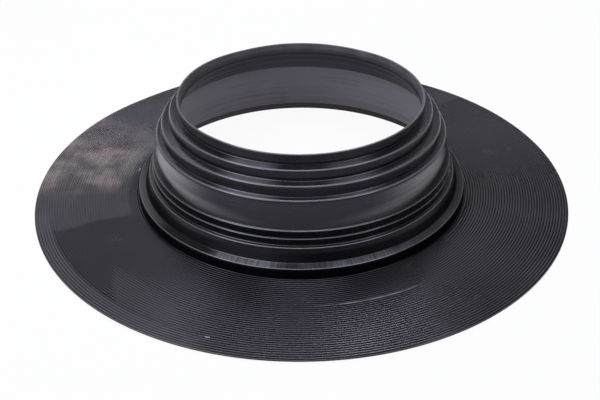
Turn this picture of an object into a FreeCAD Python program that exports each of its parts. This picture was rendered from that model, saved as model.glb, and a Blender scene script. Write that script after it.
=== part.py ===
"""Pipe flashing boot: one rubber moulding that seals a roof round a pipe.

A wide flat flange is bonded into the roof covering. Fine concentric ribs on its top key into the adhesive.
A stepped sleeve rises from the middle of the flange and narrows, shoulder by shoulder, to a thin lip that
grips the pipe. The sleeve is a thin wall, so its inside repeats the steps of its outside.

The whole boot is turned from one closed section about the Z axis. Millimetres, +Z up, origin at the centre
of the flange's underside.
"""

import FreeCAD
import Part

import math
import os
from dataclasses import dataclass

# Flange
FLANGE_DIAMETER = 500.0
FLANGE_THICKNESS = 1.6  # between the ribs
FLANGE_RIM_ROUNDING = 0.4
FLANGE_SOLE_ROUNDING = 0.3
RIB_PITCH = 2.44
RIB_HEIGHT = 0.5
RIB_FOOT_GAP = 1.2  # plain ring between the sleeve's foot and the first rib
PLAIN_RIM_WIDTH = 0.8  # least width of the plain ring outside the last rib

# Lip that grips the pipe
BORE_DIAMETER = 219.0
LIP_WALL = 1.8
LIP_HEIGHT = 11.2
LIP_MOUTH_HEIGHT = 6.4  # upper part of the lip, which opens out to let the pipe's end in
LIP_MOUTH_FLARE = 1.3  # how far it opens out
LIP_EDGE_ROUNDING = 0.6

# Sleeve: a wall that is even all the way down, with a row of steps. Each step is a shoulder that runs outwards
# and drops a little, and below its edge a wall that leans out on its way down.
SLEEVE_WALL = 2.4
INNER_ROUNDING = 0.6
ROOT_ROUNDING = 1.0  # where a broad shoulder begins
FINE_ROOT_ROUNDING = 0.5  # where a narrow one begins

BEAD_HEIGHT = 9.5
BEAD_LEAN = 0.2
BEAD_ROUNDING = 1.9
UPPER_BEAD_SHOULDER = 8.7
UPPER_BEAD_DROP = 0.4
LOWER_BEAD_SHOULDER = 7.8
LOWER_BEAD_DROP = 0.8

BAND_SHOULDER = 5.1
BAND_DROP = 0.6
BAND_HEIGHT = 25.4
BAND_LEAN = 4.1

RIDGE_ROUNDING = 0.9
FIRST_RIDGE_SHOULDER = 1.5
FIRST_RIDGE_HEIGHT = 6.7
SECOND_RIDGE_SHOULDER = 1.2
SECOND_RIDGE_HEIGHT = 6.1
RIDGE_DROP = 0.4

SKIRT_SHOULDER = 3.0
SKIRT_DROP = 0.5
SKIRT_HEIGHT = 11.8
SKIRT_LEAN = 4.3

FOOT_SHOULDER = 6.6
FOOT_DROP = 1.5
FOOT_HEIGHT = 9.7
FOOT_LEAN = 1.2
FOOT_ROUNDING = 0.8  # where the sleeve's foot meets the flange


@dataclass(frozen=True)
class Step:
    """One shoulder of the sleeve and the wall that drops from its edge."""

    shoulder: float  # width of the shoulder, outwards
    drop: float  # how much the shoulder drops towards its edge
    wall: float  # height of the wall below the edge
    lean: float  # how far that wall runs outwards on its way down
    edge_rounding: float
    root_rounding: float  # at the inner corner, where the shoulder begins


UPPER_BEAD = Step(UPPER_BEAD_SHOULDER, UPPER_BEAD_DROP, BEAD_HEIGHT, BEAD_LEAN, BEAD_ROUNDING, ROOT_ROUNDING)
LOWER_BEAD = Step(LOWER_BEAD_SHOULDER, LOWER_BEAD_DROP, BEAD_HEIGHT, BEAD_LEAN, BEAD_ROUNDING, ROOT_ROUNDING)
BAND = Step(BAND_SHOULDER, BAND_DROP, BAND_HEIGHT, BAND_LEAN, BEAD_ROUNDING, ROOT_ROUNDING)
FIRST_RIDGE = Step(FIRST_RIDGE_SHOULDER, RIDGE_DROP, FIRST_RIDGE_HEIGHT, 0, RIDGE_ROUNDING, FINE_ROOT_ROUNDING)
SECOND_RIDGE = Step(
    SECOND_RIDGE_SHOULDER, RIDGE_DROP, SECOND_RIDGE_HEIGHT, 0, RIDGE_ROUNDING, FINE_ROOT_ROUNDING
)
SKIRT = Step(SKIRT_SHOULDER, SKIRT_DROP, SKIRT_HEIGHT, SKIRT_LEAN, RIDGE_ROUNDING, FINE_ROOT_ROUNDING)
FOOT = Step(FOOT_SHOULDER, FOOT_DROP, FOOT_HEIGHT, FOOT_LEAN, RIDGE_ROUNDING, FINE_ROOT_ROUNDING)
STEPS = (UPPER_BEAD, LOWER_BEAD, BAND, FIRST_RIDGE, SECOND_RIDGE, SKIRT, FOOT)

AXIS = FreeCAD.Vector(0, 0, 1)
ORIGIN = FreeCAD.Vector(0, 0, 0)


def point(radius, height):
    """A point of the section, which lies in the XZ plane."""
    return FreeCAD.Vector(radius, 0, height)


def sleeve_corners():
    """The outer corners of the sleeve from the lip's root down to the flange, as (radius, height, rounding)."""
    radius = BORE_DIAMETER / 2 + LIP_WALL
    height = FLANGE_THICKNESS + sum(step.drop + step.wall for step in STEPS)
    corners = []
    for step in STEPS:
        corners.append((radius, height, step.root_rounding))
        radius += step.shoulder
        height -= step.drop
        corners.append((radius, height, step.edge_rounding))
        radius += step.lean
        height -= step.wall
    corners.append((radius, height, FOOT_ROUNDING))
    return corners


def offset_line(start, end, distance):
    """The line from start to end, moved sideways by distance to its right: a point on it and its direction."""
    run = end[0] - start[0]
    rise = end[1] - start[1]
    length = math.hypot(run, rise)
    direction = (run / length, rise / length)
    moved = (start[0] + direction[1] * distance, start[1] - direction[0] * distance)
    return moved, direction


def crossing(first, second):
    """Where two lines cross. Each is a point and a direction."""
    (ax, az), (ux, uz) = first
    (bx, bz), (vx, vz) = second
    share = ((bx - ax) * vz - (bz - az) * vx) / (ux * vz - uz * vx)
    return ax + share * ux, az + share * uz


def inner_corners(outer):
    """The sleeve's inner corners, one wall inside its outer ones, from the bore down to the underside."""
    bore = ((BORE_DIAMETER / 2, 0.0), (0.0, 1.0))
    underside = ((0.0, 0.0), (1.0, 0.0))
    walls = [offset_line(a, b, SLEEVE_WALL) for a, b in zip(outer[:-1], outer[1:])]
    lines = [bore, *walls, underside]
    return [crossing(a, b) for a, b in zip(lines[:-1], lines[1:])]


def chain(corners):
    """Straight runs joined by tangent arcs. Each corner is (radius, height, rounding); the ends stay sharp."""
    edges = []
    here = point(*corners[0][:2])
    for before, corner, after in zip(corners[:-2], corners[1:-1], corners[2:]):
        tip = point(*corner[:2])
        back = point(*before[:2]) - tip
        onward = point(*after[:2]) - tip
        half_angle = back.getAngle(onward) / 2
        room = 0.49 * min(back.Length, onward.Length) * math.tan(half_angle)
        rounding = min(corner[2], room)
        if rounding <= 0:
            edges.append(Part.LineSegment(here, tip).toShape())
            here = tip
            continue
        back.normalize()
        onward.normalize()
        setback = rounding / math.tan(half_angle)
        arc_start = tip + back * setback
        arc_end = tip + onward * setback
        inward = back + onward
        inward.normalize()
        arc_middle = tip + inward * (rounding / math.sin(half_angle) - rounding)
        edges.append(Part.LineSegment(here, arc_start).toShape())
        edges.append(Part.Arc(arc_start, arc_middle, arc_end).toShape())
        here = arc_end
    edges.append(Part.LineSegment(here, point(*corners[-1][:2])).toShape())
    return edges


def rib_row(innermost_foot):
    """The flange's ribs in section, from the outermost to the innermost: feet and crests, all sharp."""
    room = FLANGE_DIAMETER / 2 - PLAIN_RIM_WIDTH - innermost_foot
    count = math.floor(room / RIB_PITCH + 1e-6)
    corners = [(innermost_foot + count * RIB_PITCH, FLANGE_THICKNESS, 0)]
    for number in reversed(range(count)):
        foot = innermost_foot + number * RIB_PITCH
        corners.append((foot + RIB_PITCH / 2, FLANGE_THICKNESS + RIB_HEIGHT, 0))
        corners.append((foot, FLANGE_THICKNESS, 0))
    return corners


def lip_corners(root_height):
    """The lip from the bend in its outside, over its top edge and down to the bend in its bore."""
    top = root_height + LIP_HEIGHT
    bend = top - LIP_MOUTH_HEIGHT
    bore_radius = BORE_DIAMETER / 2
    return [
        (bore_radius + LIP_WALL, bend, LIP_MOUTH_HEIGHT),
        (bore_radius + LIP_WALL + LIP_MOUTH_FLARE, top, LIP_EDGE_ROUNDING),
        (bore_radius + LIP_MOUTH_FLARE, top, LIP_EDGE_ROUNDING),
        (bore_radius, bend, LIP_MOUTH_HEIGHT),
    ]


def boot_section():
    """The closed section of the boot, as a face."""
    outer = sleeve_corners()
    ribs = rib_row(outer[-1][0] + RIB_FOOT_GAP)
    rim_radius = FLANGE_DIAMETER / 2
    corners = [
        ribs[-1],
        *reversed(outer),
        *lip_corners(outer[0][1]),
        *[(radius, height, INNER_ROUNDING) for radius, height in inner_corners(outer)],
        (rim_radius, 0.0, FLANGE_SOLE_ROUNDING),
        (rim_radius, FLANGE_THICKNESS, FLANGE_RIM_ROUNDING),
        *ribs,
    ]
    return Part.Face(Part.Wire(chain(corners)))


def make_boot():
    """The whole boot: its section turned once round the pipe's axis."""
    return boot_section().revolve(ORIGIN, AXIS, 360)


def main():
    """Writes the one moulded piece."""
    os.makedirs("parts", exist_ok=True)
    boot = make_boot()
    boot.exportStep("parts/flashing_boot.step")


main()
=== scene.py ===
"""Pipe flashing boot: its moulded rubber, the marks on it and the studio round it.

The boot is one rubber moulding, so it is one closed surface of revolution here too. Its section is drawn
once, corner by corner, from the lip to the flange. A Geometry Nodes tree rounds the corners, adds the row of
ribs, turns the section round the pipe's axis and gives the lip and the rim the slight waves of soft rubber.
Sizes are in millimetres in the classes and in metres in the scene.
"""

import logging
import math
from dataclasses import dataclass
from enum import Enum
from typing import Any, Optional, Union

import bmesh
import bpy
from mathutils import Euler, Matrix, Vector


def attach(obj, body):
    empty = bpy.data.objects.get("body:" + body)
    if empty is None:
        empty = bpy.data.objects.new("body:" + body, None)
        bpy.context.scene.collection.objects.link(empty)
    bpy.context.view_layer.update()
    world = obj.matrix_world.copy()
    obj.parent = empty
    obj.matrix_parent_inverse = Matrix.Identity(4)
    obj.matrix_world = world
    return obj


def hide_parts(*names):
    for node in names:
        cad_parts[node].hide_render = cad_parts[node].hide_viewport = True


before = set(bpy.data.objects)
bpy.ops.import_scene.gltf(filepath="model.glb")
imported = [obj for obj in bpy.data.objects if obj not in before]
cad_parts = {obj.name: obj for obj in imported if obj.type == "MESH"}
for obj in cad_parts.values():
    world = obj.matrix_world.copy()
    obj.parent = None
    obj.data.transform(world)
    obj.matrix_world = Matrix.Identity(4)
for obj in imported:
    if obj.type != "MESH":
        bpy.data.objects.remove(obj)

LOG = logging.getLogger("flashing_boot")
MM = 0.001
BOOT_NODE = "flashing_boot"

Colour = tuple[float, float, float, float]
Sockets = dict[Union[str, int], Any]  # values or links of a node's inputs, by name, identifier or place


# ---- Node graphs ----


class Wire:
    """One output of a node, on which arithmetic adds Math nodes."""

    def __init__(self, graph: "Graph", socket: bpy.types.NodeSocket) -> None:
        """Keeps the output that the wire starts from and the graph that new nodes go into."""
        self.graph = graph
        self.socket = socket

    def math(self, operation: str, *operands: "Operand") -> "Wire":
        """Adds one Math node and takes its result."""
        return self.graph.add("ShaderNodeMath", {"operation": operation}, dict(enumerate(operands)))

    def __add__(self, other: "Operand") -> "Wire":
        """self + other."""
        return self.math("ADD", self, other)

    def __radd__(self, other: "Operand") -> "Wire":
        """other + self."""
        return self.math("ADD", other, self)

    def __sub__(self, other: "Operand") -> "Wire":
        """self - other."""
        return self.math("SUBTRACT", self, other)

    def __rsub__(self, other: "Operand") -> "Wire":
        """other - self."""
        return self.math("SUBTRACT", other, self)

    def __mul__(self, other: "Operand") -> "Wire":
        """self * other."""
        return self.math("MULTIPLY", self, other)

    def __rmul__(self, other: "Operand") -> "Wire":
        """other * self."""
        return self.math("MULTIPLY", other, self)

    def __truediv__(self, other: "Operand") -> "Wire":
        """self / other."""
        return self.math("DIVIDE", self, other)

    def __rtruediv__(self, other: "Operand") -> "Wire":
        """other / self."""
        return self.math("DIVIDE", other, self)

    def __pow__(self, other: "Operand") -> "Wire":
        """self ** other."""
        return self.math("POWER", self, other)

    def __rpow__(self, other: "Operand") -> "Wire":
        """other ** self."""
        return self.math("POWER", other, self)

    def __abs__(self) -> "Wire":
        """The size of the value without its sign."""
        return self.math("ABSOLUTE", self)

    def least(self, other: "Operand") -> "Wire":
        """The smaller of two values."""
        return self.math("MINIMUM", self, other)

    def most(self, other: "Operand") -> "Wire":
        """The larger of two values."""
        return self.math("MAXIMUM", self, other)

    def share(self) -> "Wire":
        """The value held between 0 and 1."""
        return self.most(0.0).least(1.0)

    def fraction(self) -> "Wire":
        """What is left of the value above its whole part."""
        return self.math("FRACT", self)

    def rise(self, low: float, high: float) -> "Wire":
        """A smooth rise from 0 at low to 1 at high, or a fall where high is below low.

        Args:
            low: where the result is 0.
            high: where the result is 1.

        Returns:
            The eased share.
        """
        settings = {"interpolation_type": "SMOOTHSTEP"}
        if low < high:
            sockets = {"Value": self, "From Min": low, "From Max": high}
            return self.graph.add("ShaderNodeMapRange", settings, sockets, "Result")
        sockets = {"Value": self, "From Min": high, "From Max": low, "To Min": 1.0, "To Max": 0.0}
        return self.graph.add("ShaderNodeMapRange", settings, sockets, "Result")

    def between(self, low: float, high: float, soft: float) -> "Wire":
        """1 where the value lies between low and high, easing to 0 over soft on either side."""
        return self.rise(low - soft, low + soft) * self.rise(high + soft, high - soft)


Operand = Union[Wire, float]


class Graph:
    """A node tree that is built by expressions and by one method for every other node."""

    def __init__(self, tree: bpy.types.NodeTree) -> None:
        """Keeps the tree and empties it."""
        self.tree = tree
        tree.nodes.clear()

    @staticmethod
    def pick(sockets: Any, key: Union[str, int]) -> bpy.types.NodeSocket:
        """Finds a socket by its place, its identifier or the name that shows.

        Args:
            sockets: a node's inputs or outputs.
            key: the place, identifier or name.

        Returns:
            The socket.
        """
        if isinstance(key, int):
            return sockets[key]
        for socket in sockets:
            if socket.identifier == key:
                return socket
        return next(socket for socket in sockets if socket.name == key and socket.enabled)

    def node(self, kind: str, settings: dict[str, Any], sockets: Sockets) -> bpy.types.Node:
        """Adds any node: its settings first, then the values or links of its inputs.

        Args:
            kind: the node's type.
            settings: attributes of the node.
            sockets: inputs by name, identifier or place, each a wire, a number, a tuple or a data-block.

        Returns:
            The new node.
        """
        node = self.tree.nodes.new(kind)
        for name, value in settings.items():
            setattr(node, name, value)
        for key, value in sockets.items():
            socket = self.pick(node.inputs, key)
            if isinstance(value, Wire):
                self.tree.links.new(value.socket, socket)
            else:
                socket.default_value = value
        return node

    def add(
        self,
        kind: str,
        settings: Optional[dict[str, Any]] = None,
        sockets: Optional[Sockets] = None,
        output: Union[str, int] = 0,
    ) -> Wire:
        """Adds any node, with its settings and sockets, and takes one of its outputs."""
        node = self.node(kind, settings or {}, sockets or {})
        return Wire(self, self.pick(node.outputs, output))

    def vector(self, operation: str, *operands: Any, output: str = "Vector") -> Wire:
        """Adds one Vector Math node."""
        sockets = dict(enumerate(operands))
        return self.add("ShaderNodeVectorMath", {"operation": operation}, sockets, output)

    def scaled(self, vector: Wire, factor: Operand) -> Wire:
        """Makes a vector longer or shorter by a factor."""
        sockets = {0: vector, "Scale": factor}
        return self.add("ShaderNodeVectorMath", {"operation": "SCALE"}, sockets, "Vector")

    def combine(self, x: Operand, y: Operand, z: Operand) -> Wire:
        """Makes a vector of three values."""
        return self.add("ShaderNodeCombineXYZ", {}, {"X": x, "Y": y, "Z": z})

    def split(self, vector: Wire) -> tuple[Wire, Wire, Wire]:
        """Takes a vector apart."""
        node = self.node("ShaderNodeSeparateXYZ", {}, {"Vector": vector})
        return Wire(self, node.outputs[0]), Wire(self, node.outputs[1]), Wire(self, node.outputs[2])

    def noise(self, place: Wire, scale: float, detail: float = 2.0, seed: float = 0.0) -> Wire:
        """Adds a noise, near 0.5 on the whole; detail is its number of finer layers."""
        sockets = {"Vector": place, "W": seed, "Scale": scale, "Detail": detail, "Roughness": 0.55}
        return self.add("ShaderNodeTexNoise", {"noise_dimensions": "4D"}, sockets, 0)

    def ray(self, kind: str) -> Wire:
        """1 for rays of one kind, such as the camera's."""
        return self.add("ShaderNodeLightPath", {}, {}, f"Is {kind} Ray")

    def mix(self, share: Operand, first: Any, second: Any) -> Wire:
        """Blends two colours by a share."""
        sockets = {"Factor_Float": share, "A_Color": first, "B_Color": second}
        return self.add("ShaderNodeMix", {"data_type": "RGBA"}, sockets, "Result_Color")


# ---- The section of the moulding ----


class Zone(Enum):
    """The stretches of the section, stored on the surface so that its finish can tell them apart."""

    OUTSIDE = 0.0
    FLANGE_TOP = 1.0
    SOLE = 2.0
    INSIDE = 3.0


@dataclass(frozen=True)
class Corner:
    """A corner of the section, in millimetres."""

    radius: float
    height: float
    rounding: float
    zone: Zone
    edge_highlight: float = 0.0  # how strongly a painted highlight lines the rounded edge


@dataclass(frozen=True)
class Step:
    """One shoulder of the sleeve and the wall that drops from its edge, in millimetres."""

    shoulder: float
    fall: float
    wall: float
    lean: float
    edge_rounding: float
    root_rounding: float


@dataclass(frozen=True)
class Sleeve:
    """The stepped sleeve between the flange and the lip, in millimetres."""

    root_radius: float = 111.3
    wall: float = 2.4
    inner_rounding: float = 0.9
    foot_rounding: float = 0.6
    upper_bead: Step = Step(8.7, 0.4, 9.5, 0.2, 1.9, 1.0)
    lower_bead: Step = Step(7.8, 0.8, 9.6, 0.2, 1.9, 1.0)
    band: Step = Step(5.1, 0.6, 25.4, 4.1, 1.9, 1.0)
    first_ridge: Step = Step(1.5, 0.4, 6.7, 0.0, 0.9, 0.6)
    second_ridge: Step = Step(1.2, 0.3, 6.1, 0.0, 0.9, 0.4)
    third_ridge: Step = Step(3.0, 0.5, 11.8, 4.3, 1.1, 0.7)
    foot: Step = Step(6.6, 1.5, 9.7, 1.2, 0.9, 0.7)

    @property
    def steps(self) -> tuple[Step, ...]:
        """The shoulders from the top down."""
        ridges = (self.first_ridge, self.second_ridge, self.third_ridge)
        return (self.upper_bead, self.lower_bead, self.band, *ridges, self.foot)

    def outer(self, flange_top: float) -> list[Corner]:
        """The outside, from the lip's root down to the flange.

        Args:
            flange_top: height of the flange between its ribs.

        Returns:
            The corners in order.
        """
        radius = self.root_radius
        height = flange_top + sum(step.fall + step.wall for step in self.steps)
        corners = []
        for step in self.steps:
            # the last value of each corner is its painted highlight: half in the roots, full on the edges
            corners.append(Corner(radius, height, step.root_rounding, Zone.OUTSIDE, 0.5))
            radius += step.shoulder
            height -= step.fall
            corners.append(Corner(radius, height, step.edge_rounding, Zone.OUTSIDE, 1.0))
            radius += step.lean
            height -= step.wall
        corners.append(Corner(radius, height, self.foot_rounding, Zone.OUTSIDE))
        return corners

    def inner(self, outer: list[Corner], bore_radius: float) -> list[Corner]:
        """The inside, one wall in from the outside, from the bore down to the sole.

        Args:
            outer: the corners of the outside.
            bore_radius: radius of the lip's bore.

        Returns:
            The corners in order.
        """
        bore = (Vector((bore_radius, 0.0)), Vector((0.0, 1.0)))
        sole = (Vector((0.0, 0.0)), Vector((1.0, 0.0)))
        lines = [bore]
        for start, end in zip(outer[:-1], outer[1:]):
            run = Vector((end.radius - start.radius, end.height - start.height)).normalized()
            inwards = Vector((run.y, -run.x))
            lines.append((Vector((start.radius, start.height)) + inwards * self.wall, run))
        lines.append(sole)
        corners = []
        for (first, along), (second, across) in zip(lines[:-1], lines[1:]):
            gap = second - first
            share = gap.cross(across) / along.cross(across)
            meet = first + along * share
            corners.append(Corner(meet.x, meet.y, self.inner_rounding, Zone.INSIDE))
        return corners


@dataclass(frozen=True)
class Lip:
    """The thin lip that grips the pipe, in millimetres."""

    bore_radius: float = 109.5
    wall: float = 1.8
    height: float = 10.3
    mouth_height: float = 6.2
    mouth_flare: float = 1.3
    edge_rounding: float = 0.6

    def corners(self, root_height: float) -> list[Corner]:
        """The lip from the bend in its outside, over its edge and down to the bend in its bore.

        Args:
            root_height: height of the lip's root.

        Returns:
            The corners in order.
        """
        top = root_height + self.height
        bend = top - self.mouth_height
        mouth = self.bore_radius + self.mouth_flare
        return [
            Corner(self.bore_radius + self.wall, bend, self.mouth_height, Zone.OUTSIDE),
            Corner(mouth + self.wall, top, self.edge_rounding, Zone.OUTSIDE, 0.8),
            Corner(mouth, top, self.edge_rounding, Zone.INSIDE, 0.8),
            Corner(self.bore_radius, bend, self.mouth_height, Zone.INSIDE),
        ]


@dataclass(frozen=True)
class Flange:
    """The wide flange and its ribs, in millimetres."""

    radius: float = 250.0
    thickness: float = 1.6
    rim_rounding: float = 0.4
    sole_rounding: float = 0.3
    foot_gap: float = 1.2
    rib_pitch: float = 2.44
    rib_height: float = 0.6
    rib_count: int = 38
    dish: float = 1.2  # how much higher the rim lies than the foot
    dish_radius: float = 157.0  # where the dishing begins

    def rim(self) -> list[Corner]:
        """The sole's edge and the flange's rim."""
        return [
            Corner(self.radius, 0.0, self.sole_rounding, Zone.SOLE),
            Corner(self.radius, self.thickness, self.rim_rounding, Zone.FLANGE_TOP, 0.8),
        ]


@dataclass(frozen=True)
class Bulge:
    """A gentle wave in an edge: where it is, how narrow it is and how far it moves the edge."""

    azimuth: float  # degrees
    narrowness: float  # power of the cosine that shapes it
    rise: float  # millimetres


# ---- The moulding ----


class SectionInput(Enum):
    """The named inputs of the turning tree, with their socket types."""

    RIB_COUNT = ("Rib count", "NodeSocketInt")
    RIB_PITCH = ("Rib pitch", "NodeSocketFloat")
    RIB_HEIGHT = ("Rib height", "NodeSocketFloat")
    FIRST_RIB = ("First rib radius", "NodeSocketFloat")
    FLANGE_TOP = ("Flange top", "NodeSocketFloat")
    SEGMENTS = ("Segments", "NodeSocketInt")
    FINISH = ("Finish", "NodeSocketMaterial")


@dataclass
class BootMoulding:
    """The whole boot as one closed piece."""

    lip: Lip
    sleeve: Sleeve
    flange: Flange
    segments: int = 192
    rib_points: int = 6
    hub: float = 100.0  # radius of the circle that carries the section, millimetres
    support: float = 0.35  # how close to a rounding the straight runs are held flat, millimetres
    room_share: float = 0.46  # how much of the shorter run beside it a rounding may take
    least_run: float = 2.2  # shortest run that is held flat, in reaches of its hold
    lip_foot: float = 83.2  # height at which the lip's waves begin, millimetres
    lip_top: float = 95.2  # height at which they are full, millimetres
    lip_sag: float = 0.5  # size of the lip's slow sag, millimetres
    sag_scale: float = 1.7
    rim_start: float = 222.0  # radius at which the rim's wave begins, millimetres
    lip_bulges: tuple[Bulge, ...] = (
        Bulge(152.0, 18.0, 0.8),
        Bulge(-132.0, 22.0, 0.7),
        Bulge(120.0, 30.0, -0.6),
        Bulge(60.0, 24.0, -0.6),
        Bulge(-90.0, 12.0, -0.4),
    )
    rim_bulges: tuple[Bulge, ...] = (Bulge(134.0, 60.0, -1.7),)

    def section(self) -> list[Corner]:
        """The section from the first rib's foot, over sleeve and lip, back along the sole to the last rib.

        Returns:
            The corners in order; the rib row closes the loop between the last and the first.
        """
        flange = self.flange
        outer = self.sleeve.outer(flange.thickness)
        first_rib = outer[-1].radius + flange.foot_gap
        last_rib = first_rib + flange.rib_count * flange.rib_pitch
        return [
            Corner(first_rib, flange.thickness, 0.0, Zone.FLANGE_TOP),
            *reversed(outer),
            *self.lip.corners(outer[0].height),
            *self.sleeve.inner(outer, self.lip.bore_radius),
            *flange.rim(),
            Corner(last_rib, flange.thickness, 0.0, Zone.FLANGE_TOP),
        ]

    def supported(self, corners: list[Corner]) -> list[Corner]:
        """Adds points beside each rounding, so that smooth shading leaves the straight runs flat.

        Args:
            corners: the section's corners.

        Returns:
            The corners with plain points between them.
        """
        points = [corners[0]]
        for before, corner, after in zip(corners[:-2], corners[1:-1], corners[2:]):
            here = Vector((corner.radius, corner.height))
            back = Vector((before.radius, before.height)) - here
            onward = Vector((after.radius, after.height)) - here
            half_angle = back.angle(onward) / 2
            room = self.room_share * min(back.length, onward.length)
            setback = min(corner.rounding / math.tan(half_angle), room)
            reach = setback + self.support
            rounding = setback * math.tan(half_angle)
            middle = Corner(corner.radius, corner.height, rounding, corner.zone, corner.edge_highlight)
            flats = []
            for arm in (back, onward):
                spot = here + arm.normalized() * reach
                flat = Corner(spot.x, spot.y, 0.0, corner.zone)
                flats.append([flat] if arm.length >= self.least_run * reach else [])
            points += [*flats[0], middle, *flats[1]]
        points.append(corners[-1])
        return points

    def section_object(self) -> bpy.types.Object:
        """Makes the section's line as a mesh of edges, with its roundings and marks as attributes.

        Returns:
            The object that holds the line.
        """
        corners = self.supported(self.section())
        mesh = bpy.data.meshes.new("boot_section")
        places = [(corner.radius * MM, 0.0, corner.height * MM) for corner in corners]
        mesh.from_pydata(places, [(i, i + 1) for i in range(len(places) - 1)], [])
        marks = {
            "rounding": [corner.rounding * MM for corner in corners],
            "zone": [corner.zone.value for corner in corners],
            "edge_highlight": [corner.edge_highlight for corner in corners],
        }
        for name, values in marks.items():
            mesh.attributes.new(name, "FLOAT", "POINT").data.foreach_set("value", values)
        piece = bpy.data.objects.new("boot_moulding", mesh)
        bpy.context.scene.collection.objects.link(piece)
        return piece

    def tree(self) -> tuple[bpy.types.NodeTree, dict[SectionInput, str]]:
        """Builds the tree that rounds, ribs, turns and waves the section.

        Returns:
            The tree and the identifier of each of its inputs.
        """
        tree = bpy.data.node_groups.new("turned_boot", "GeometryNodeTree")
        tree.interface.new_socket("Geometry", in_out="INPUT", socket_type="NodeSocketGeometry")
        tree.interface.new_socket("Geometry", in_out="OUTPUT", socket_type="NodeSocketGeometry")
        names = {}
        for choice in SectionInput:
            title, kind = choice.value
            socket = tree.interface.new_socket(title, in_out="INPUT", socket_type=kind)
            names[choice] = socket.identifier
        graph = Graph(tree)
        entry = graph.node("NodeGroupInput", {}, {})
        given = {choice: Wire(graph, graph.pick(entry.outputs, names[choice])) for choice in SectionInput}
        section = Wire(graph, entry.outputs["Geometry"])
        joined = graph.add("GeometryNodeJoinGeometry")
        graph.tree.links.new(section.socket, joined.socket.node.inputs[0])
        graph.tree.links.new(self.rib_row(graph, given).socket, joined.socket.node.inputs[0])
        loop = graph.add("GeometryNodeMergeByDistance", {}, {"Geometry": joined, "Distance": 0.01 * MM})
        turned = self.turn(graph, loop, given[SectionInput.SEGMENTS])
        waved = self.wave(graph, turned)
        smooth = graph.add("GeometryNodeSetShadeSmooth", {}, {"Geometry": waved})
        real = graph.add("GeometryNodeRealizeInstances", {}, {"Geometry": smooth})
        sockets = {"Geometry": real, "Material": given[SectionInput.FINISH]}
        dressed = graph.add("GeometryNodeSetMaterial", {}, sockets)
        graph.node("NodeGroupOutput", {}, {"Geometry": dressed})
        return tree, names

    def rib_row(self, graph: Graph, given: dict[SectionInput, Wire]) -> Wire:
        """Draws the rib row in section: a line whose points rise and fall by rule.

        Args:
            graph: the turning tree.
            given: the tree's inputs.

        Returns:
            The line of edges.
        """
        step = given[SectionInput.RIB_PITCH] / float(self.rib_points)
        start = graph.combine(given[SectionInput.FIRST_RIB], 0.0, given[SectionInput.FLANGE_TOP])
        count = given[SectionInput.RIB_COUNT] * float(self.rib_points) + 1.0
        sockets = {"Count": count, "Start Location": start, "Offset": graph.combine(step, 0.0, 0.0)}
        line = graph.add("GeometryNodeMeshLine", {"mode": "OFFSET"}, sockets)
        place = graph.add("GeometryNodeInputIndex") / float(self.rib_points)
        across = (place + 0.0001).fraction()
        arch = 1.0 - abs(across * 2.0 - 1.0) ** 4.0
        lift = graph.combine(0.0, 0.0, arch * given[SectionInput.RIB_HEIGHT])
        raised = graph.add("GeometryNodeSetPosition", {}, {"Geometry": line, "Offset": lift})
        marked = raised
        for name, value in (("zone", Zone.FLANGE_TOP.value), ("groove", 1.0 - arch)):
            sockets = {"Geometry": marked, "Name": name, "Value": value}
            marked = graph.add("GeometryNodeStoreNamedAttribute", {"data_type": "FLOAT"}, sockets)
        return marked

    def turn(self, graph: Graph, loop: Wire, segments: Wire) -> Wire:
        """Rounds the section's corners and turns it round the axis.

        Args:
            graph: the turning tree.
            loop: the closed section as edges.
            segments: how many steps the turn has.

        Returns:
            The closed surface.
        """
        curve = graph.add("GeometryNodeMeshToCurve", {}, {"Mesh": loop})
        settings = {"data_type": "FLOAT"}
        rounding = graph.add("GeometryNodeInputNamedAttribute", settings, {"Name": "rounding"}, "Attribute")
        sockets = {"Curve": curve, "Count": 4, "Radius": rounding, "Limit Radius": True}
        filleted = graph.add("GeometryNodeFilletCurve", {"mode": "POLY"}, sockets)
        radius, _, height = graph.split(graph.add("GeometryNodeInputPosition"))
        upright = graph.combine(radius - self.hub * MM, height * -1.0, 0.0)
        profile = graph.add("GeometryNodeSetPosition", {}, {"Geometry": filleted, "Position": upright})
        sockets = {"Resolution": segments, "Radius": self.hub * MM}
        circle = graph.add("GeometryNodeCurvePrimitiveCircle", {"mode": "RADIUS"}, sockets)
        return graph.add("GeometryNodeCurveToMesh", {}, {"Curve": circle, "Profile Curve": profile})

    def wave(self, graph: Graph, turned: Wire) -> Wire:
        """Moves the lip up and down and the rim in and out by their bulges.

        Args:
            graph: the turning tree.
            turned: the true surface of revolution.

        Returns:
            The surface as soft rubber holds it.
        """
        place = graph.add("GeometryNodeInputPosition")
        x, y, z = graph.split(place)
        flat = graph.combine(x, y, 0.0)
        radius = graph.vector("LENGTH", flat, output="Value")
        outwards = graph.vector("NORMALIZE", flat)
        rim = self.flange.radius * MM
        on_lip = z.rise(self.lip_foot * MM, self.lip_top * MM)
        sag = (graph.noise(outwards, self.sag_scale, 1.0, 4.0) - 0.5) * (self.lip_sag * MM)
        dish = radius.rise(self.flange.dish_radius * MM, rim) * (self.flange.dish * MM)
        lift = self.bulges(graph, outwards, self.lip_bulges) * on_lip + sag * on_lip + dish
        shrink = self.bulges(graph, outwards, self.rim_bulges) * radius.rise(self.rim_start * MM, rim)
        aside = graph.scaled(outwards, shrink)
        offset = graph.vector("ADD", aside, graph.combine(0.0, 0.0, lift))
        return graph.add("GeometryNodeSetPosition", {}, {"Geometry": turned, "Offset": offset})

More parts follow.
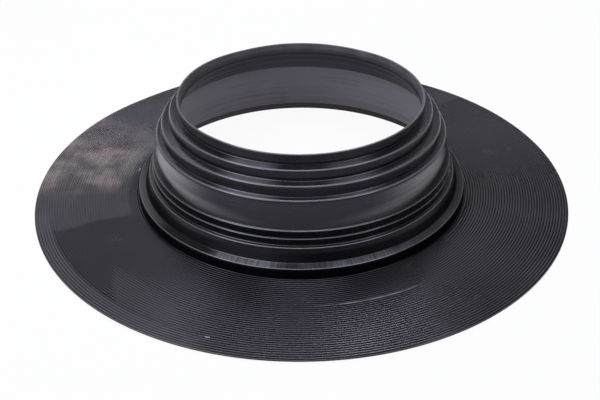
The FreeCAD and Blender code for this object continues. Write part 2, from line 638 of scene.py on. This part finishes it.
    @staticmethod
    def bulges(graph: Graph, outwards: Wire, bulges: tuple[Bulge, ...]) -> Wire:
        """Adds up the bulges of one edge at each azimuth.

        Args:
            graph: the turning tree.
            outwards: the level unit vector away from the axis.
            bulges: the bulges to add up.

        Returns:
            The movement in metres.
        """
        total: Operand = 0.0
        for bulge in bulges:
            angle = math.radians(bulge.azimuth)
            heading = (math.cos(angle), math.sin(angle), 0.0)
            facing = graph.vector("DOT_PRODUCT", outwards, heading, output="Value").most(0.0)
            total = facing**bulge.narrowness * (bulge.rise * MM) + total
        return total

    def build(self, finish: bpy.types.Material) -> bpy.types.Object:
        """Makes the boot's piece and hides the plain solid it stands for.

        Args:
            finish: the boot's material.

        Returns:
            The finished piece.
        """
        drawn = self.section_object()
        tree, names = self.tree()
        modifier = drawn.modifiers.new("turned", "NODES")
        modifier.node_group = tree
        flange = self.flange
        values = {
            SectionInput.RIB_COUNT: flange.rib_count,
            SectionInput.RIB_PITCH: flange.rib_pitch * MM,
            SectionInput.RIB_HEIGHT: flange.rib_height * MM,
            SectionInput.FIRST_RIB: self.section()[0].radius * MM,
            SectionInput.FLANGE_TOP: flange.thickness * MM,
            SectionInput.SEGMENTS: self.segments,
            SectionInput.FINISH: finish,
        }
        for choice, value in values.items():
            modifier[names[choice]] = value
        piece = baked(drawn)
        close_and_face_outwards(piece.data)
        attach(piece, "root")
        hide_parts(BOOT_NODE)
        return piece


def baked(drawn: bpy.types.Object) -> bpy.types.Object:
    """Turns a piece's live nodes into a plain mesh.

    Args:
        drawn: the object whose modifiers make the shape.

    Returns:
        The same object with the plain mesh and no modifier.
    """
    depsgraph = bpy.context.evaluated_depsgraph_get()
    plain = bpy.data.meshes.new_from_object(drawn.evaluated_get(depsgraph))
    plain.name = drawn.name
    drawn.modifiers.clear()
    drawn.data = plain
    return drawn


def close_and_face_outwards(mesh: bpy.types.Mesh) -> None:
    """Merges doubled points and turns every face outwards.

    Args:
        mesh: the mesh to mend.
    """
    work = bmesh.new()
    work.from_mesh(mesh)
    bmesh.ops.remove_doubles(work, verts=work.verts, dist=1e-6)
    bmesh.ops.recalc_face_normals(work, faces=work.faces)
    work.to_mesh(mesh)
    work.free()
    mesh.update()


# ---- The rubber ----

Span = tuple[float, float, float]  # low end, high end and how softly both ease, in millimetres
Grain = tuple[float, float, float, float]  # waves per radian, waves per millimetre, finer layers, seed


@dataclass(frozen=True)
class Sector:
    """A stretch round the axis: its azimuth, its reach before and after it, and its softness. Degrees."""

    azimuth: float
    before: float
    after: float
    soft: float


@dataclass(frozen=True)
class Field:
    """A soft-edged patch of the flange: a sector between two radii."""

    sector: Sector
    radii: Span


@dataclass(frozen=True)
class Spot:
    """What the shader knows of a spot. Radius and height are in millimetres."""

    graph: Graph
    place: Wire
    radius: Wire
    height: Wire
    outwards: Wire
    zone: Wire
    edge_highlight: Wire
    groove: Wire
    upwards: Wire

    @classmethod
    def read(cls, graph: Graph) -> "Spot":
        """Reads the piece's own coordinates and the marks that the moulding stored.

        Args:
            graph: the material's tree.

        Returns:
            The spot.
        """
        place = graph.add("ShaderNodeTexCoord", {}, {}, "Object")
        x, y, z = graph.split(place)
        flat = graph.combine(x, y, 0.0)
        radius = graph.vector("LENGTH", flat, output="Value") * (1.0 / MM)
        settings = {"attribute_type": "GEOMETRY"}
        zone, edge_highlight, groove = (
            graph.add("ShaderNodeAttribute", {**settings, "attribute_name": name}, {}, "Fac")
            for name in ("zone", "edge_highlight", "groove")
        )
        _, _, upwards = graph.split(graph.add("ShaderNodeNewGeometry", {}, {}, "Normal"))
        outwards = graph.vector("NORMALIZE", flat)
        return cls(graph, place, radius, z * (1.0 / MM), outwards, zone, edge_highlight, groove, upwards)

    def turn_from(self, azimuth: float) -> Wire:
        """How far round the axis the spot lies from an azimuth.

        Args:
            azimuth: degrees.

        Returns:
            Degrees from -180 to 180.
        """
        angle = math.radians(azimuth)
        ahead = (math.cos(angle), math.sin(angle), 0.0)
        aside = (-math.sin(angle), math.cos(angle), 0.0)
        along = self.graph.vector("DOT_PRODUCT", self.outwards, ahead, output="Value")
        across = self.graph.vector("DOT_PRODUCT", self.outwards, aside, output="Value")
        return across.math("ARCTAN2", across, along) * (180.0 / math.pi)

    def within(self, sector: Sector) -> Wire:
        """1 inside a sector, easing to 0 past its ends."""
        return self.turn_from(sector.azimuth).between(-sector.before, sector.after, sector.soft)

    def patch(self, field: Field) -> Wire:
        """1 inside a patch, easing to 0 past its edges."""
        return self.within(field.sector) * self.radius.between(*field.radii)

    def outside(self) -> Wire:
        """1 on the outside of the sleeve and the lip."""
        return self.zone.rise(0.5, 0.1)

    def on_flange(self) -> Wire:
        """An even share on the top of the flange and 0 elsewhere."""
        return self.zone.between(0.9, 1.1, 0.3)

    def inside(self) -> Wire:
        """1 on the inside of the sleeve and the lip."""
        return self.zone.rise(2.5, 2.9)

    def on_sleeve(self) -> Wire:
        """1 on the sleeve and the lip and 0 on the flange."""
        return self.radius.rise(156.0, 154.0)

    def ringed(self, grain: Grain, wall_weight: float = 1.7) -> Wire:
        """Reads a noise that is drawn out round the axis or along the radius.

        Args:
            grain: the noise.
            wall_weight: how much a millimetre of height counts for beside one of radius.

        Returns:
            The noise, near 0.5 on the whole.
        """
        round_scale, radial_scale, detail, seed = grain
        along = (self.radius + self.height * wall_weight) * radial_scale
        drawn = self.graph.scaled(self.outwards, round_scale)
        place = self.graph.vector("ADD", drawn, self.graph.combine(0.0, 0.0, along))
        return self.graph.noise(place, 1.0, detail, seed)


@dataclass(frozen=True)
class Marks(Spot):
    """The marks on the rubber, real ones and painted light, each as the share of it that a spot has."""

    faint_dust: Field = Field(Sector(-193.0, 18.0, 18.0, 4.0), (163.0, 262.0, 5.0))
    strong_dust: Field = Field(Sector(-187.0, 11.5, 11.5, 3.0), (172.0, 262.0, 12.0))
    dust_streaks: Grain = (4.0, 0.22, 3.0, 5.0)
    smooth_sector: Sector = Sector(-165.0, 9.5, 6.5, 1.2)
    smooth_edge: Grain = (5.0, 0.02, 2.0, 8.0)
    rim_strip: Field = Field(Sector(-138.0, 29.0, 29.0, 3.0), (236.5, 262.0, 1.8))
    smudge: Field = Field(Sector(-45.0, 6.0, 6.0, 4.0), (198.0, 214.0, 5.0))
    smudge_grain: Grain = (12.0, 0.05, 3.0, 2.0)
    veil: Field = Field(Sector(-27.0, 22.0, 22.0, 14.0), (163.0, 262.0, 6.0))
    cloud_azimuth: float = -122.0
    cloud_slant: float = 0.38  # degrees round for each millimetre outwards
    cloud_radii: Span = (206.0, 236.0, 7.0)
    # the two sectors of the front that take painted reflections of the back lights
    lit_left: Sector = Sector(-110.5, 9.0, 9.0, 6.0)
    lit_right: Sector = Sector(-70.0, 8.0, 8.0, 6.0)
    band_inside: Span = (30.5, 60.0, 1.5)
    low_inside: Span = (7.5, 30.5, 1.5)
    bead_ledges: Span = (62.0, 85.8, 0.5)
    skin_rings: Grain = (1.2, 0.42, 3.0, 6.0)
    skin_clouds: Grain = (6.0, 0.03, 3.0, 7.0)
    # where the two painted reflections on the band lie
    left_reflection: float = -156.0  # azimuth
    right_reflection: float = -33.0  # azimuth
    reflection_slide: float = 2.9  # degrees towards the front for each millimetre down
    foot_ledge: Span = (11.0, 13.4, 0.3)
    foot_ledge_radii: Span = (147.6, 154.4, 0.5)
    left_scuff: Sector = Sector(-108.0, 11.0, 9.0, 2.5)
    right_scuff: Sector = Sector(-70.0, 11.0, 10.0, 2.5)
    scuff_strokes: Grain = (130.0, 0.05, 4.0, 9.0)
    # a painted highlight along one rib of the flange
    rib_highlight: Field = Field(Sector(-74.0, 10.0, 12.0, 5.0), (188.0, 190.0, 0.5))
    rib_grain: Grain = (9.0, 0.02, 2.0, 4.0)
    nick: Field = Field(Sector(-107.6, 0.42, 0.42, 0.15), (235.4, 236.3, 0.35))
    fleck: Field = Field(Sector(-187.0, 0.9, 0.9, 0.5), (160.2, 161.4, 0.5))
    edge_grain: Grain = (4.0, 0.06, 3.0, 14.0)
    # a painted highlight down the right side of the lip
    lip_highlight: Sector = Sector(-10.0, 9.0, 12.0, 6.0)
    lip_side: Span = (88.0, 95.6, 1.2)
    lip_grain: Grain = (3.0, 0.3, 3.0, 16.0)
    fine_flow: Grain = (1.1, 1.1, 3.0, 11.0)
    broad_flow: Grain = (2.4, 0.28, 2.0, 12.0)

    def dust(self) -> Wire:
        """The dusty field on the left of the flange, in blotches drawn out along the radius.

        Returns:
            A share from 0 to 1.
        """
        blotch = self.graph.noise(self.place, 34.0, 4.0, 3.0).rise(0.38, 0.62)
        streak = self.ringed(self.dust_streaks).rise(0.3, 0.7)
        faint = self.patch(self.faint_dust) * (0.14 + blotch * 0.3)
        strong = self.patch(self.strong_dust) * (blotch * 0.42 + 0.16) * (0.6 + streak * 0.7)
        return (faint + strong).share()

    def smooth(self) -> Wire:
        """The sector whose bloom fills the grooves.

        Returns:
            1 inside it, with a wandering edge.
        """
        sector = self.smooth_sector
        wander = (self.ringed(self.smooth_edge) - 0.5) * 9.0
        return (self.turn_from(sector.azimuth) + wander).between(-sector.before, sector.after, sector.soft)

    def bloom(self) -> Wire:
        """The grey bloom: a smooth field beside the dust, a strip along the rim and fainter clouds.

        Returns:
            A share, not yet held to 1.
        """
        smooth = self.smooth() * self.radius.rise(163.0, 168.0) * self.on_flange() * 0.62
        slant = self.turn_from(self.cloud_azimuth) - (self.radius - 213.0) * self.cloud_slant
        cloud = slant.between(-15.0, 4.0, 1.5) * self.radius.between(*self.cloud_radii) * 0.36
        smudge = self.patch(self.smudge) * self.ringed(self.smudge_grain).rise(0.3, 0.7) * 0.4
        bloom = smooth.most(cloud).most(smudge).most(self.patch(self.rim_strip) * 0.75)
        mottle = self.graph.noise(self.place, 24.0, 4.0, 1.0).rise(0.4, 0.75) * 0.16
        return bloom.most(self.patch(self.veil) * 0.32) * self.radius.rise(156.5, 158.5) + mottle

    def lit_sectors(self, left: float, right: float) -> Wire:
        """How much painted light falls in the two sectors of the front where the back lights are mirrored,
        with a strength for each.
        """
        return self.within(self.lit_left) * left + self.within(self.lit_right) * right

    def skin(self) -> Wire:
        """A lighter, duller grey on the lip, painted light inside the sleeve and painted reflections on the
        ledges.

        Returns:
            A share, not yet held to 1.
        """
        inside = self.inside()
        rings = self.ringed(self.skin_rings).rise(0.35, 0.65) * 0.4
        # a lighter grey on the lip; inside the mouth, on the band and low down inside the sleeve it is
        # painted light, and the hollow under the beads is left dark
        lip = self.height.rise(85.5, 88.0) * (0.2 + inside * 0.09)
        mouth = inside * self.height.rise(88.5, 91.0) * 0.33
        band = inside * self.height.between(*self.band_inside) * (1.12 + rings)
        low = inside * self.height.between(*self.low_inside) * (0.9 + rings)
        # painted reflections of the back lights on the upward faces of the bead ledges
        ledges = self.upwards.rise(0.75, 0.97) * self.height.between(*self.bead_ledges) * self.outside()
        skin = lip + mouth + band + low + ledges * (self.lit_sectors(0.46, 0.24) + 0.04)
        return skin * (0.7 + self.ringed(self.skin_clouds).rise(0.25, 0.8) * 0.5)

    def painted_reflections(self) -> Wire:
        """Two painted reflections down the upper part of the plain band, one on each side.

        Returns:
            A share from 0 to 1.
        """
        slide = (self.height - 52.0).least(0.0) * self.reflection_slide
        left = self.turn_from(self.left_reflection) + slide
        right = self.turn_from(self.right_reflection) - slide
        wide = left.rise(-17.0, -1.0) * left.rise(38.0, 0.0)
        narrow = right.rise(-36.0, 0.0) * right.rise(24.0, 4.0)
        upper = self.height.rise(38.0, 55.0) * self.height.rise(63.0, 60.5)
        on_band = self.outside() * self.radius.rise(140.0, 138.5)
        return ((wide + narrow * 0.8) ** 1.3 * upper * on_band).share()

    def painted_edge_highlights(self) -> Wire:
        """Painted highlights along the rounded edges of the steps, and fainter ones in their roots.

        Returns:
            A share, not yet held to 1.
        """
        lit = self.lit_sectors(0.5, 0.25)
        crest = self.edge_highlight.rise(0.45, 0.78)
        root = self.edge_highlight.rise(0.1, 0.42) * (1.0 - crest)
        patchy = self.ringed(self.edge_grain) * 0.3
        # painted highlights: light lines on the crests and roots where the surface faces partly upwards,
        # brighter in the two lit sectors
        shine = crest * (0.36 + lit + patchy) + root * (lit * 1.7 + 0.02)
        return shine * self.upwards.between(0.5, 0.93, 0.12)

    def scuffs_and_highlights(self) -> Wire:
        """Light scuffs across the ledge above the foot and two nicks, with painted highlights along one rib,
        on the edges and on the lip.

        Returns:
            A share from 0 to 1.
        """
        ledge = self.height.between(*self.foot_ledge) * self.radius.between(*self.foot_ledge_radii)
        sides = self.within(self.left_scuff).most(self.within(self.right_scuff) * 0.75)
        strokes = self.ringed(self.scuff_strokes).rise(0.3, 0.7) * 0.9 + 0.3
        # painted highlight along one rib
        rib = self.patch(self.rib_highlight) * self.ringed(self.rib_grain).rise(0.3, 0.6) * 0.9
        nicks = self.patch(self.nick) * 5.0 + self.patch(self.fleck) * 1.5
        # painted highlight down the right side of the lip
        side = self.within(self.lip_highlight) * self.height.between(*self.lip_side) * self.outside()
        lip = side * self.ringed(self.lip_grain).rise(0.3, 0.6) * 0.6
        return (ledge * (sides * 0.42 + 0.06) * strokes + rib + nicks + self.painted_edge_highlights() + lip).share()

    def flow(self) -> Wire:
        """Faint lines round the sleeve where the rubber flowed in the mould, from -0.5 to 0.5."""
        lines = self.ringed(self.fine_flow) * 0.6 + self.ringed(self.broad_flow) * 0.4
        return (lines - 0.5) * self.on_sleeve()


@dataclass(frozen=True)
class PaintedShade:
    """Painted shade, mixed in as dead black: in the grooves, on the ledge and the side of the foot, on the
    skirt below the band and on one side each of the flange and the band.
    """

    groove_depth: float = 0.95
    groove_front: Sector = Sector(-86.0, 18.0, 18.0, 12.0)
    ledge_height: Span = (10.5, 13.6, 0.3)
    ledge_radii: Span = (147.2, 153.2, 0.5)
    ledge_parts: tuple[tuple[Sector, float], ...] = (
        (Sector(-133.0, 11.0, 14.0, 4.0), 1.0),
        (Sector(-45.0, 9.0, 9.0, 5.0), 0.75),
        (Sector(-93.0, 3.0, 3.0, 2.5), 0.8),
    )
    foot_height: Span = (2.2, 9.2, 0.5)
    foot_radii: Span = (153.0, 156.4, 0.4)
    skirt_height: Span = (12.6, 20.5, 1.5)
    skirt_open: Sector = Sector(-105.0, 12.0, 12.0, 9.0)
    flange_side: Sector = Sector(26.0, 18.0, 40.0, 12.0)
    band_height: Span = (38.0, 62.0, 1.5)
    band_side: Sector = Sector(2.0, 16.0, 24.0, 8.0)

    def share(self, spot: Spot, filled: Wire) -> Wire:
        """How much painted shade a spot takes.

        Args:
            spot: the spot.
            filled: how much of a groove bloom and dust fill.

        Returns:
            A share from 0 to 1.
        """
        outside = spot.outside()
        front = spot.turn_from(-136.0).rise(-12.0, 12.0) * 0.4 + spot.within(self.groove_front) * 0.2 + 0.5
        # painted shade in the grooves between the ribs, strongest at the front
        grooves = spot.groove.rise(0.05, 0.5) * self.groove_depth * (1.0 - filled) * front
        # painted shade on three sectors of the ledge above the foot
        ledge_shade: Operand = 0.0
        for sector, depth in self.ledge_parts:
            ledge_shade = (spot.within(sector) * depth).most(ledge_shade)
        ledge = spot.height.between(*self.ledge_height) * spot.radius.between(*self.ledge_radii)
        # painted shade on the foot's side, and on the skirt below the band but less at the front
        foot = spot.height.between(*self.foot_height) * spot.radius.between(*self.foot_radii) * outside
        opened = 0.72 - spot.within(self.skirt_open) * 0.62
        skirt = spot.height.between(*self.skirt_height) * outside * opened
        # painted shade on one side of the flange and one side of the band
        side = spot.within(self.flange_side) * spot.radius.rise(157.0, 165.0) * spot.on_flange()
        band = spot.within(self.band_side) * spot.height.between(*self.band_height) * outside
        deep = grooves.most(ledge * ledge_shade * 0.7).most(foot * 0.8)
        return deep.most(skirt).most(side * 0.62).most(band * 0.5)


@dataclass(frozen=True)
class MouldedRubber:
    """Black moulded rubber with its bloom, dust, scuffs and mould marks, and painted highlights,
    reflections, light and shade.
    """

    name: str = "moulded_black_rubber"
    black: Colour = (0.0042, 0.004, 0.0052, 1.0)
    bloom: Colour = (0.06, 0.056, 0.064, 1.0)
    # a light grey for the lip, and the colour of the painted light inside the sleeve and on the ledges
    skin: Colour = (0.24, 0.222, 0.25, 1.0)
    dust: Colour = (0.21, 0.191, 0.17, 1.0)
    rosy_dust: Colour = (0.218, 0.158, 0.168, 1.0)
    # the colour of the light scuffs and of the painted highlights
    scuff_and_highlight: Colour = (0.27, 0.275, 0.3, 1.0)
    # the pale colour of the painted reflections on the band
    painted_reflection: Colour = (0.64, 0.605, 0.635, 1.0)
    sheen: Colour = (0.9, 0.83, 1.0, 1.0)
    roughness: float = 0.25
    coat_roughness: float = 0.45
    ior: float = 1.54
    relief_strength: float = 0.2
    relief_depth: float = 0.00022  # metres
    plain_band: Span = (38.5, 61.0, 1.0)
    painted_shade: PaintedShade = PaintedShade()

    def surface(self, marks: Marks, dust: Wire) -> Wire:
        """The rubber's surface, before the painted shade is mixed in.

        Args:
            marks: the marks at the spot.
            dust: how much dust lies on it.

        Returns:
            The shader.
        """
        graph = marks.graph
        sleeve = marks.on_sleeve()
        bloom, skin, painted_reflections, flow = marks.bloom(), marks.skin(), marks.painted_reflections(), marks.flow()
        plain = marks.height.between(*self.plain_band) * marks.outside() * 0.22
        colour = graph.mix((bloom + plain + flow * 0.45).share(), self.black, self.bloom)
        colour = graph.mix(skin.share(), colour, self.skin)
        # painted reflections on the band: a pale colour, with a coat over it
        colour = graph.mix(painted_reflections * (0.8 + flow * 0.8), colour, self.painted_reflection)
        rosy = graph.noise(marks.place, 22.0, 2.0, 21.0).rise(0.44, 0.58)
        colour = graph.mix(dust, colour, graph.mix(rosy, self.dust, self.rosy_dust))
        # light scuffs and painted highlights
        colour = graph.mix(marks.scuffs_and_highlights(), colour, self.scuff_and_highlight)
        fine = graph.noise(marks.place, 950.0, 2.0, 2.0)
        dull = (bloom + skin + dust).share() * 0.2
        relief = fine * (sleeve * 0.18 + 0.02) + flow * 1.1
        bump = {"Strength": self.relief_strength, "Distance": self.relief_depth, "Height": relief}
        sockets = {
            "Base Color": colour,
            "Roughness": self.roughness + dull + flow * 0.16 + (fine - 0.5) * sleeve * 0.06,
            "Normal": graph.add("ShaderNodeBump", {}, bump, "Normal"),
            "IOR": self.ior,
            "Specular Tint": self.sheen,
            "Coat Weight": painted_reflections,
            "Coat Roughness": self.coat_roughness,
        }
        return graph.add("ShaderNodeBsdfPrincipled", {}, sockets)

    def build(self) -> bpy.types.Material:
        """Makes the material.

        Returns:
            The finished material.
        """
        material = bpy.data.materials.new(self.name)
        material.use_nodes = True
        graph = Graph(material.node_tree)
        marks = Marks.read(graph)
        dust = marks.dust()
        filled = (marks.smooth() * 0.75 + dust * 0.5).share()
        # painted shade: a dead black diffuse, mixed in by its share
        shade = graph.add("ShaderNodeBsdfDiffuse", {}, {"Color": self.black})
        sockets = {0: self.painted_shade.share(marks, filled), 1: self.surface(marks, dust), 2: shade}
        shader = graph.add("ShaderNodeMixShader", {}, sockets)
        graph.node("ShaderNodeOutputMaterial", {}, {"Surface": shader})
        return material


# ---- The studio ----


COOL = (0.9, 0.94, 1.0)
WHITE = (1.0, 1.0, 1.0, 1.0)


@dataclass(frozen=True)
class SoftLight:
    """One soft light: where it stands, how large it is and how bright. Metres."""

    name: str
    place: tuple[float, float, float]
    width: float
    depth: float
    watts: float
    tint: tuple[float, float, float] = (1.0, 1.0, 1.0)
    aim: tuple[float, float, float] = (0.0, 0.0, 0.03)

    def build(self) -> None:
        """Hangs the light and turns it to what it lights."""
        lamp = bpy.data.lights.new(self.name, "AREA")
        lamp.shape = "RECTANGLE"
        lamp.size = self.width
        lamp.size_y = self.depth
        lamp.energy = self.watts
        lamp.color = self.tint
        holder = bpy.data.objects.new(self.name, lamp)
        bpy.context.scene.collection.objects.link(holder)
        holder.location = self.place
        sight = Vector(self.aim) - Vector(self.place)
        holder.rotation_euler = sight.to_track_quat("-Z", "Y").to_euler()


@dataclass
class Studio:
    """The camera, the floor, the lights and the white surround. Metres and degrees."""

    distance: float = 0.8509
    elevation: float = 33.37
    roll: float = -0.42
    target_height: float = -0.0228
    lens: float = 51.92
    shift_x: float = -0.0024
    shift_y: float = 0.0008
    low_surround: float = 0.03
    side_surround: float = 0.12
    high_surround: float = 0.15
    floor_half: float = 6.0
    floor_glow: float = 0.94  # how white the floor is to the eye
    mirrored_far: float = 0.95  # how much of that glow the rubber mirrors from behind
    mirrored_near: float = 0.08  # and from in front
    lights: tuple[SoftLight, ...] = (
        SoftLight("overhead_softbox", (0.0, -0.05, 1.5), 0.66, 0.45, 8.0, COOL),
        SoftLight("upper_left_front", (-0.9, -0.4, 1.27), 0.35, 0.35, 4.4, COOL),
        SoftLight("upper_left", (-0.85, 0.1, 1.35), 0.4, 0.5, 2.4, COOL),
        SoftLight("upper_right_front", (0.9, -0.4, 1.27), 0.35, 0.35, 3.2, COOL),
        SoftLight("high_back_right", (0.55, 0.95, 1.45), 0.8, 0.4, 1.6, COOL, (0.55, 0.0, 0.03)),
        SoftLight("back_left", (-0.42, 1.3, 1.34), 0.54, 0.54, 2.6, COOL, (-0.42, 0.0, 0.03)),
        SoftLight("far_back_left", (-1.0, 1.3, 0.9), 0.55, 0.6, 1.1, COOL, (-1.0, 0.0, 0.03)),
        SoftLight("left_strip", (-0.21, 1.3, 1.36), 0.12, 0.54, 0.9, COOL, (-0.21, 0.0, 0.03)),
        SoftLight("back_right", (0.2, 1.3, 1.36), 0.13, 0.54, 4.6, COOL, (0.2, 0.0, 0.03)),
        SoftLight("far_back_right", (0.72, 1.4, 0.95), 0.6, 0.6, 0.3, COOL, (0.72, 0.0, 0.03)),
        SoftLight("low_left_front", (-0.95, -1.1, 0.65), 0.8, 0.5, 1.6, COOL),
    )

    def camera(self) -> None:
        """Sets the camera to look down at the boot from the front."""
        lens = bpy.data.cameras.new("camera")
        lens.lens = self.lens
        lens.sensor_width = 36.0
        lens.shift_x = self.shift_x
        lens.shift_y = self.shift_y
        lens.clip_start = 0.01
        lens.clip_end = 50.0
        holder = bpy.data.objects.new("camera", lens)
        bpy.context.scene.collection.objects.link(holder)
        angle = math.radians(self.elevation)
        level = -math.cos(angle) * self.distance
        rise = math.sin(angle) * self.distance + self.target_height
        tilt = Euler((math.pi / 2 - angle, 0.0, 0.0)).to_matrix()
        turn = tilt @ Matrix.Rotation(math.radians(self.roll), 3, "Z")
        holder.matrix_world = Matrix.Translation((0.0, level, rise)) @ turn.to_4x4()
        bpy.context.scene.camera = holder

    def floor(self) -> None:
        """Lays the white floor, which keeps a soft shadow of the boot."""
        half = self.floor_half
        mesh = bpy.data.meshes.new("floor")
        corners = [(-half, -half, 0.0), (half, -half, 0.0), (half, half, 0.0), (-half, half, 0.0)]
        mesh.from_pydata(corners, [], [(0, 1, 2, 3)])
        floor = bpy.data.objects.new("floor", mesh)
        bpy.context.scene.collection.objects.link(floor)
        material = bpy.data.materials.new("white_floor")
        material.use_nodes = True
        graph = Graph(material.node_tree)
        seen, mirrored, passed = (graph.ray(kind) for kind in ("Camera", "Glossy", "Transmission"))
        x, y, _ = graph.split(graph.add("ShaderNodeTexCoord", {}, {}, "Object"))
        behind = (y - x * 0.35).rise(-0.15, 0.4)
        direct = seen.most(mirrored * (behind * self.mirrored_far + self.mirrored_near)).most(passed)
        paint = graph.add("ShaderNodeBsdfDiffuse", {}, {"Color": (0.8, 0.8, 0.8, 1.0)})
        glow = graph.add("ShaderNodeEmission", {}, {"Color": WHITE, "Strength": 1.0})
        sockets = {0: direct * self.floor_glow, 1: paint, 2: glow}
        mixed = graph.add("ShaderNodeMixShader", {}, sockets)
        graph.node("ShaderNodeOutputMaterial", {}, {"Surface": mixed})
        mesh.materials.append(material)

    def surround(self) -> None:
        """Makes the world white to the eye and dim as a light."""
        world = bpy.data.worlds.new("surround")
        bpy.context.scene.world = world
        world.use_nodes = True
        graph = Graph(world.node_tree)
        x, y, z = graph.split(graph.add("ShaderNodeTexCoord", {}, {}, "Generated"))
        side = (y * 0.25 - x * 0.97).rise(-0.8, 1.0)
        above = z.rise(0.45, 0.9)
        lit = self.low_surround + side * self.side_surround + above * self.high_surround
        strength = graph.ray("Camera").most(lit)
        sockets = {"Color": WHITE, "Strength": strength}
        sky = graph.add("ShaderNodeBackground", {}, sockets)
        graph.node("ShaderNodeOutputWorld", {}, {"Surface": sky})

    def build(self) -> None:
        """Sets up everything round the boot but the camera."""
        self.floor()
        self.surround()
        for light in self.lights:
            light.build()


def main() -> None:
    """Builds the boot and its studio, and logs the boot's triangle count and finish."""
    logging.basicConfig(level=logging.INFO, format="%(message)s")
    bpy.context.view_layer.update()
    bpy.context.scene.view_settings.view_transform = "Standard"
    studio = Studio()
    studio.camera()
    rubber = MouldedRubber().build()
    boot = BootMoulding(Lip(), Sleeve(), Flange()).build(rubber)
    triangles = sum(len(face.vertices) - 2 for face in boot.data.polygons)
    LOG.info("%s: %d triangles, in %s", boot.name, triangles, rubber.name)
    studio.build()


if __name__ == "__main__":
    main()
